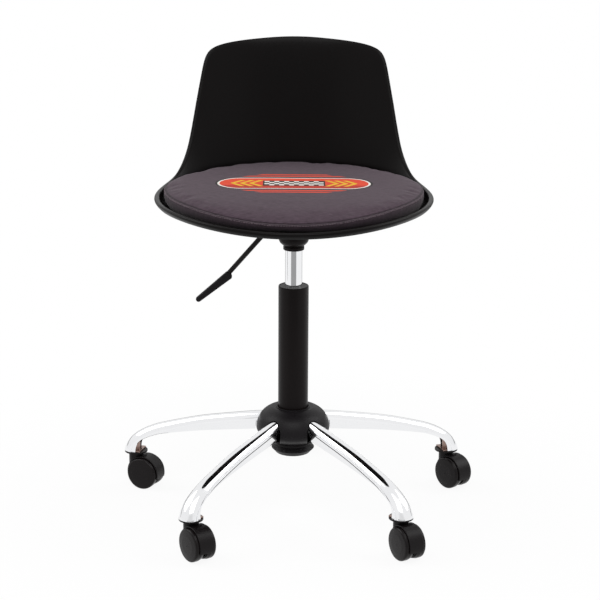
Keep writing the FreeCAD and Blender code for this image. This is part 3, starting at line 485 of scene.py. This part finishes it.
# The shell: back and seat pan in one injection moulding of black polypropylene, with a rolled
# rim and four bosses below that take the plate's screws.

# moulded from a polished tool: deep black, with a thin light line where the rim turns
shell_plastic = plain_finish("moulded_black_polypropylene", "060303", "040202", 0.3, 0.1,
                             grain_mm=1.2, bump=0.06, edge=0.0012)
finish(shell_plastic, "seat_shell")

# The pad: a foam disc in a sewn cover of printed polyester. The top panel is printed before
# it is sewn to the side band, the foam swells between the seams, and the pad lies loose in
# the shell's recess.

pad_radius = 0.2125
pad_back = 0.196
pad_side = math.radians(100)
pad_low_z = 0.5203
pad_seam_z = 0.5467
pad_front_drop = 0.0112
pad_drop_start = 0.105
pad_crown = 0.0042
pad_columns = 96

side_point = Vector((pad_radius * math.sin(pad_side), -pad_radius * math.cos(pad_side)))
pad_sag = pad_back - side_point.y
rear_radius = (side_point.x ** 2 + pad_sag ** 2) / (2 * pad_sag)
rear_centre = pad_back - rear_radius


def pad_reach(turn):
    """Distance from the column's axis to the pad's edge at a bearing from the front."""
    if abs(turn) <= pad_side:
        return pad_radius
    middle = -math.cos(turn) * rear_centre
    return middle + math.sqrt(middle ** 2 - rear_centre ** 2 + rear_radius ** 2)


def seam_height(y):
    """The top seam's height, which falls away towards the front with the shell's rim."""
    way = max(0, -y - pad_drop_start) / (pad_radius - pad_drop_start)
    return pad_seam_z - pad_front_drop * way ** 2


# rows over the top: share of the reach, and share of the crown's height above the seam
crown_rows = [(0.0, 1.0), (0.2, 1.0), (0.4, 0.99), (0.6, 0.96), (0.78, 0.9), (0.91, 0.74),
              (0.975, 0.4)]
# rows down the band: inset from the edge, and share of the band's height
band_rows = [(0.0014, 1.0), (0.0, 0.86), (0.0002, 0.6), (0.0022, 0.35), (0.006, 0.1), (0.011, 0.0)]
# rows from the band's foot to the middle below
foot_rows = 3


def pad_point(column_number, row):
    """A point of the pad's cut shape, from the middle of its top to the middle below."""
    turn = math.pi * (2 * column_number / pad_columns - 1)
    reach = pad_reach(turn)
    away = Vector((math.sin(turn), -math.cos(turn), 0))
    if row < len(crown_rows):
        share, rise = crown_rows[row]
        here = away * reach * share
        return column + here + Vector((0, 0, seam_height(here.y) + pad_crown * rise))
    if row < len(crown_rows) + len(band_rows):
        inset, share = band_rows[row - len(crown_rows)]
        height = pad_low_z + (seam_height(away.y * reach) - pad_low_z) * share
        return column + away * (reach - inset) + Vector((0, 0, height))
    share = 1 - (row - len(crown_rows) - len(band_rows) + 1) / foot_rows
    return column + away * (reach - band_rows[-1][0]) * share + Vector((0, 0, pad_low_z))


pad_rows = len(crown_rows) + len(band_rows) + foot_rows - 1
pad = object_from("seat_pad", placed_grid(pad_columns, pad_rows, pad_point))


def apply_modifier(piece, kind, **settings):
    """Add a modifier, then keep its result as the piece's mesh."""
    modifier = piece.modifiers.new(kind.lower(), kind)
    for name, value in settings.items():
        setattr(modifier, name, value)
    shaped = piece.evaluated_get(bpy.context.evaluated_depsgraph_get())
    mesh = bpy.data.meshes.new_from_object(shaped)
    piece.modifiers.clear()
    old = piece.data
    piece.data = mesh
    bpy.data.meshes.remove(old)
    mesh.name = piece.name
    mesh.polygons.foreach_set("use_smooth", [True] * len(mesh.polygons))


voxel = 0.005
inflate_frames = 16
inflate_pressure = 4.0
inflate_cap = 0.0035
# a firm woven cover, light for its stiffness
cover_settings = {"quality": 5, "mass": 0.2, "tension_stiffness": 20, "compression_stiffness": 20,
                  "shear_stiffness": 8, "bending_stiffness": 4, "use_pressure": True,
                  "uniform_pressure_force": inflate_pressure}


def inflate(piece):
    """Blow the sewn cover up a little with cloth simulation, no point further than the cap."""
    cut = [vert.co.copy() for vert in piece.data.vertices]
    cloth = piece.modifiers.new("inflate", "CLOTH")
    for name, value in cover_settings.items():
        setattr(cloth.settings, name, value)
    cloth.settings.effector_weights.gravity = 0
    cloth.point_cache.frame_start = 1
    cloth.point_cache.frame_end = inflate_frames
    for moment in range(1, inflate_frames + 1):
        scene.frame_set(moment)
    blown = piece.evaluated_get(bpy.context.evaluated_depsgraph_get())
    moved = [vert.co.copy() for vert in blown.data.vertices]
    piece.modifiers.clear()
    scene.frame_set(1)
    for vert, start, end in zip(piece.data.vertices, cut, moved):
        way = end - start
        if way.length > inflate_cap:
            way = way * (inflate_cap / way.length)
        vert.co = start + way


apply_modifier(pad, "REMESH", mode="VOXEL", voxel_size=voxel)
inflate(pad)
apply_modifier(pad, "SUBSURF", levels=1, render_levels=1)

# the blown cover draws in at its sides, and is pulled back out to the width it was cut to
pulled_out = 1.012
# the thread draws the cloth in by the seam's depth, over its width
seam_inset = band_rows[0][0]
seam_depth = 0.0013
seam_width = 0.0026
# small puckers run out of the seam, and brushed cloth never lies quite flat
pucker_length = 0.011
pucker_depth = 0.00014
pucker_reach = 0.008
nap_depth = 0.00025
nap_length = 0.055
# how far the cover may stand out past its cut edge, and sink under its cut foot
edge_spare = 0.0012
foot_spare = 0.0002


def sew(piece):
    """Draw the cover in along its top seam, rest it flat below, and let the panel dimple."""
    for vert in piece.data.vertices:
        here = vert.co - column
        here.xy *= pulled_out
        vert.co = column + here
        turn = math.atan2(here.x, -here.y)
        reach = pad_reach(turn)
        flat = math.hypot(here.x, here.y)
        away = Vector((here.x, here.y, 0)) / max(flat, 0.001)
        seam = Vector((reach - seam_inset, seam_height(away.y * reach)))
        gap = (Vector((flat, here.z)) - seam).length
        pull = math.exp(-(gap / seam_width) ** 2)
        pucker = pucker_depth * math.sin(turn * reach / pucker_length * math.tau)
        inwards = (away + Vector((0, 0, 1))).normalized()
        vert.co -= inwards * (seam_depth * pull + pucker * math.exp(-(gap / pucker_reach) ** 2))
        if here.z > seam.y:
            vert.co.z += nap_depth * noise.noise(here / nap_length)
        over = math.hypot(vert.co.x - column.x, vert.co.y - column.y) - reach - edge_spare
        if over > 0:
            vert.co -= away * over
        vert.co.z = max(vert.co.z, pad_low_z - foot_spare)


sew(pad)

# in metres, the print's middle on the pad and the height under which the cover is plain
print_centre_y = -0.004
print_lowest_z = 0.54
# in millimetres, its forms as half lengths and half widths about that middle
band_straight = 84.0
band_half = 40.0
black_line_out = 4.0
white_line_out = 0.5
red_start_in = -3.0
shade_start = -14.0
ribbon_length = 48.0
ribbon_half = 16.0
ribbon_line = 2.5
square_pair = 16.0
chevron_start = 66.0
chevron_pitch = 15.0
chevron_lean = 0.75
chevron_half = 22.0
stripe_start = 50.0
stripe_pitch = 12.0
stripe_share = 0.55
stripe_length = 86.0
stripe_shorter = 22.0

# each step of the pattern: its name, its operation and what that works on. x and y are in
# millimetres from the print's middle, and z is in metres over the floor
print_steps = [
    ("on_top", "GREATER_THAN", "z", print_lowest_z),
    # under the top seam, whose height falls towards the front as seam_height gives it
    ("past_flat", "SUBTRACT", -1000 * (pad_drop_start + print_centre_y), "y"),
    ("fall_from", "MAXIMUM", "past_flat", 0.0),
    ("fall_way", "DIVIDE", "fall_from", 1000 * (pad_radius - pad_drop_start)),
    ("fall_square", "MULTIPLY", "fall_way", "fall_way"),
    ("fall", "MULTIPLY", "fall_square", pad_front_drop),
    ("seam_line", "SUBTRACT", pad_seam_z, "fall"),
    # the side band below that seam, which takes painted shade
    ("shaded_side_band", "LESS_THAN", "z", "seam_line"),
    ("across", "ABSOLUTE", "x"),
    ("up", "ABSOLUTE", "y"),
    # signed distance to a band with round ends, and its keylines
    ("past_end", "SUBTRACT", "across", band_straight),
    ("end", "MAXIMUM", "past_end", 0.0),
    ("end_square", "MULTIPLY", "end", "end"),
    ("up_square", "MULTIPLY", "up", "up"),
    ("squares", "ADD", "end_square", "up_square"),
    ("from_spine", "SQRT", "squares"),
    ("rim", "SUBTRACT", "from_spine", band_half),
    ("black_edge", "LESS_THAN", "rim", black_line_out),
    ("white_line", "LESS_THAN", "rim", white_line_out),
    ("red_field", "LESS_THAN", "rim", red_start_in),
    ("shade_line", "LESS_THAN", "y", shade_start),
    ("deep_field", "MULTIPLY", "red_field", "shade_line"),
    # a chequered ribbon of 8 mm squares along the middle
    ("ribbon_end", "LESS_THAN", "across", ribbon_length),
    ("ribbon_side", "LESS_THAN", "up", ribbon_half),
    ("ribbon", "MULTIPLY", "ribbon_end", "ribbon_side"),
    ("frame_end", "LESS_THAN", "across", ribbon_length + ribbon_line),
    ("frame_side", "LESS_THAN", "up", ribbon_half + ribbon_line),
    ("ribbon_frame", "MULTIPLY", "frame_end", "frame_side"),
    ("square_x", "DIVIDE", "x", square_pair),
    ("square_y", "DIVIDE", "y", square_pair),
    ("part_x", "FRACT", "square_x"),
    ("part_y", "FRACT", "square_y"),
    ("half_x", "LESS_THAN", "part_x", 0.5),
    ("half_y", "LESS_THAN", "part_y", 0.5),
    ("same", "COMPARE", "half_x", "half_y", 0.1),
    ("black_square", "MULTIPLY", "same", "ribbon"),
    # three yellow chevrons each side, pointing outwards
    ("leant", "MULTIPLY", "up", chevron_lean),
    ("chevron_way", "ADD", "across", "leant"),
    ("chevron_from", "SUBTRACT", "chevron_way", chevron_start),
    ("chevron_turn", "DIVIDE", "chevron_from", chevron_pitch),
    ("chevron_part", "FRACT", "chevron_turn"),
    ("stroke", "LESS_THAN", "chevron_part", 0.5),
    ("after_first", "GREATER_THAN", "chevron_turn", 0.0),
    ("before_last", "LESS_THAN", "chevron_turn", 3.0),
    ("chevron_side", "LESS_THAN", "up", chevron_half),
    ("run_of_three", "MULTIPLY", "after_first", "before_last"),
    ("strokes", "MULTIPLY", "stroke", "run_of_three"),
    ("chevrons", "MULTIPLY", "strokes", "chevron_side"),
    # two short stripes above the band and two below it
    ("stripe_from", "SUBTRACT", "up", stripe_start),
    ("stripe_turn", "DIVIDE", "stripe_from", stripe_pitch),
    ("stripe_part", "FRACT", "stripe_turn"),
    ("stripe_ink", "LESS_THAN", "stripe_part", stripe_share),
    ("stripe_low", "GREATER_THAN", "stripe_turn", 0.0),
    ("stripe_high", "LESS_THAN", "stripe_turn", 2.0),
    ("stripe_fall", "MULTIPLY", "stripe_turn", stripe_shorter),
    ("stripe_end", "ADD", "across", "stripe_fall"),
    ("stripe_short", "LESS_THAN", "stripe_end", stripe_length),
    ("stripe_pair", "MULTIPLY", "stripe_low", "stripe_high"),
    ("stripe_rows", "MULTIPLY", "stripe_pair", "stripe_short"),
    ("stripes", "MULTIPLY", "stripe_rows", "stripe_ink"),
]
# inks in the order of printing, each over the mask that the steps give
inks = [("stripes", "D8401F"), ("black_edge", "16120F"), ("white_line", "E9E3DC"),
        ("red_field", "DC4323"), ("deep_field", "B32C17"), ("ribbon_frame", "16120F"),
        ("ribbon", "E9E3DC"), ("black_square", "16120F"), ("chevrons", "E3B51F")]

cloth_base = "51424C"
cloth_dark = "3E323A"
# painted shade: the side band's colour is scaled by this, darker than the top for the shade a
# sideways face gets under lamps from above
band_painted_shade = 0.5
# brushed fibres lie crosswise: streaks 9 mm long and 1.6 mm wide over a rib 6 mm long and
# 0.7 mm wide, both coarser than the real nap so that they show
streak_scales = (110, 620, 300)
streak_limits = (0.34, 0.66)
rib_scales = (160, 1500, 1500)
rib_tones = (0.86, 1.12)
rib_strength = 0.35
rib_height = 0.0004
# wear lightens and darkens the panel in patches of about 110 mm
wear_scale = 9.0
wear_tones = (0.93, 1.05)


def printed_cloth():
    """Brushed polyester, plum-grey and matt, with inks laid over its top panel, and painted shade
    that darkens the side band. The nap catches a little light at a low angle."""
    material, tree = material_tree("printed_brushed_polyester")
    place = add(tree, "ShaderNodeTexCoord").outputs["Object"]
    centre = column + Vector((0, print_centre_y, 0))
    local = add(tree, "ShaderNodeVectorMath", {0: place, 1: centre}, operation="SUBTRACT")
    in_mm = add(tree, "ShaderNodeVectorMath", {0: local, "Scale": 1000.0}, operation="SCALE")
    split = add(tree, "ShaderNodeSeparateXYZ", {0: in_mm})
    values = {"x": split.outputs["X"], "y": split.outputs["Y"]}
    values["z"] = add(tree, "ShaderNodeSeparateXYZ", {0: place}).outputs["Z"]
    for name, operation, *operands in print_steps:
        fed = {at: values.get(operand, operand) for at, operand in enumerate(operands)}
        values[name] = add(tree, "ShaderNodeMath", fed, operation=operation)
    streak_way = add(tree, "ShaderNodeMapping", {"Vector": place, "Scale": streak_scales})
    streaks = add(tree, "ShaderNodeTexNoise", {"Vector": streak_way, "Scale": 1.0, "Detail": 4.0})
    rib_way = add(tree, "ShaderNodeMapping", {"Vector": place, "Scale": rib_scales})
    rib = add(tree, "ShaderNodeTexNoise", {"Vector": rib_way, "Scale": 1.0, "Detail": 2.0})
    wear = add(tree, "ShaderNodeTexNoise", {"Vector": place, "Scale": wear_scale, "Detail": 2.0})
    streaked = add(tree, "ShaderNodeMapRange", {
        "Value": streaks.outputs["Fac"], "From Min": streak_limits[0],
        "From Max": streak_limits[1]})
    laid = add(tree, "ShaderNodeMix", {
        "Factor": streaked, "A": colour(cloth_dark), "B": colour(cloth_base)},
        data_type="RGBA").outputs["Result"]
    for mask, ink in inks:
        inked = add(tree, "ShaderNodeMath", {0: values[mask], 1: values["on_top"]},
                    operation="MULTIPLY")
        laid = add(tree, "ShaderNodeMix", {"Factor": inked, "A": laid, "B": colour(ink)},
                   data_type="RGBA").outputs["Result"]
    woven = add(tree, "ShaderNodeMapRange", {
        "Value": rib.outputs["Fac"], "To Min": rib_tones[0], "To Max": rib_tones[1]})
    worn = add(tree, "ShaderNodeMapRange", {
        "Value": wear.outputs["Fac"], "To Min": wear_tones[0], "To Max": wear_tones[1]})
    shade = add(tree, "ShaderNodeMath", {0: woven, 1: worn}, operation="MULTIPLY")
    # painted shade: the side band below the top seam is darkened
    band_shaded = add(tree, "ShaderNodeMapRange", {
        "Value": values["shaded_side_band"], "To Min": 1.0, "To Max": band_painted_shade})
    toned = add(tree, "ShaderNodeMath", {0: shade, 1: band_shaded}, operation="MULTIPLY")
    final = add(tree, "ShaderNodeVectorMath", {0: laid, "Scale": toned}, operation="SCALE")
    raised = add(tree, "ShaderNodeBump", {
        "Strength": rib_strength, "Distance": rib_height, "Height": rib.outputs["Fac"]})
    shader = add(tree, "ShaderNodeBsdfPrincipled", {
        "Base Color": final, "Roughness": 0.85, "Specular IOR Level": 0.15, "Sheen Weight": 0.1,
        "Sheen Roughness": 0.5, "Normal": raised})
    add(tree, "ShaderNodeOutputMaterial", {"Surface": shader})
    return material


pad.data.materials.append(printed_cloth())
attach(pad, "seat")
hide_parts("seat_cushion")

# The stitching: one row of spun polyester thread through the side band, close under the top
# seam. Each stitch lies on the finished cover.

pad_skin = BVHTree.FromObject(pad, bpy.context.evaluated_depsgraph_get())


def on_pad(turn, drop, proud):
    """The finished pad's skin next to the seam at a bearing, a drop below it, stood off it."""
    reach = pad_reach(turn)
    away = Vector((math.sin(turn), -math.cos(turn), 0))
    seam = column + away * reach + Vector((0, 0, seam_height(away.y * reach) - drop))
    spot, normal, _, _ = pad_skin.find_nearest(seam)
    return spot + normal * proud


stitch_length = 0.0032
stitch_pitch = 0.0042
stitch_thick = 0.00045
stitch_drop = 0.0024
stitch_proud = 0.0001
stitch_sides = 6


def seam_stitches():
    """A row of stitches along the seam, each a short round bar."""
    bm = bmesh.new()
    around = sum(pad_reach(math.radians(step)) for step in range(360)) * math.tau / 360
    count = int(around / stitch_pitch)
    for number in range(count):
        turn = math.tau * number / count - math.pi
        made = bmesh.ops.create_cone(bm, cap_ends=True, segments=stitch_sides,
                                     radius1=stitch_thick, radius2=stitch_thick,
                                     depth=stitch_length)
        lie = Matrix.Rotation(turn, 4, "Z") @ Matrix.Rotation(math.pi / 2, 4, "Y")
        spot = Matrix.Translation(on_pad(turn, stitch_drop, stitch_proud))
        bmesh.ops.transform(bm, matrix=spot @ lie, verts=made["verts"])
    return bm


stitches = object_from("seam_stitches", seam_stitches())
# spun polyester: a paler plum than the cloth, matt
thread = plain_finish("spun_polyester_thread", "7B6C74", "6A5C64", 0.7, 0.3, grain_mm=1.0,
                      bump=0.3)
stitches.data.materials.append(thread)
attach(stitches, "seat")

# The piping: a thin cord in the cover's own cloth, sewn in between the top panel and the side
# band. It closes on itself at the back.

welt_radius = 0.0007
welt_proud = 0.0002
welt_sides = 6
welt_steps = 360


def bead_point(step, side):
    """A point of the piping, by its step along the seam and its side round the cord."""
    turn = math.tau * step / welt_steps - math.pi
    angle = math.tau * side / welt_sides
    offset = Vector((math.sin(turn) * math.cos(angle), -math.cos(turn) * math.cos(angle),
                     math.sin(angle)))
    return on_pad(turn, 0, welt_proud) + offset * welt_radius


welt = object_from("seam_piping", placed_grid(welt_steps, welt_sides, bead_point))
# the cover's cloth rolled tight, coloured a touch paler than the cloth as painted highlight: a
# light line over the band's painted shade
highlit_piping_cloth = plain_finish("polyester_piping_painted_highlight", "5B5056", "4A4046", 0.7, 0.3, grain_mm=1.0,
                            bump=0.3)
welt.data.materials.append(highlit_piping_cloth)
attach(welt, "seat")
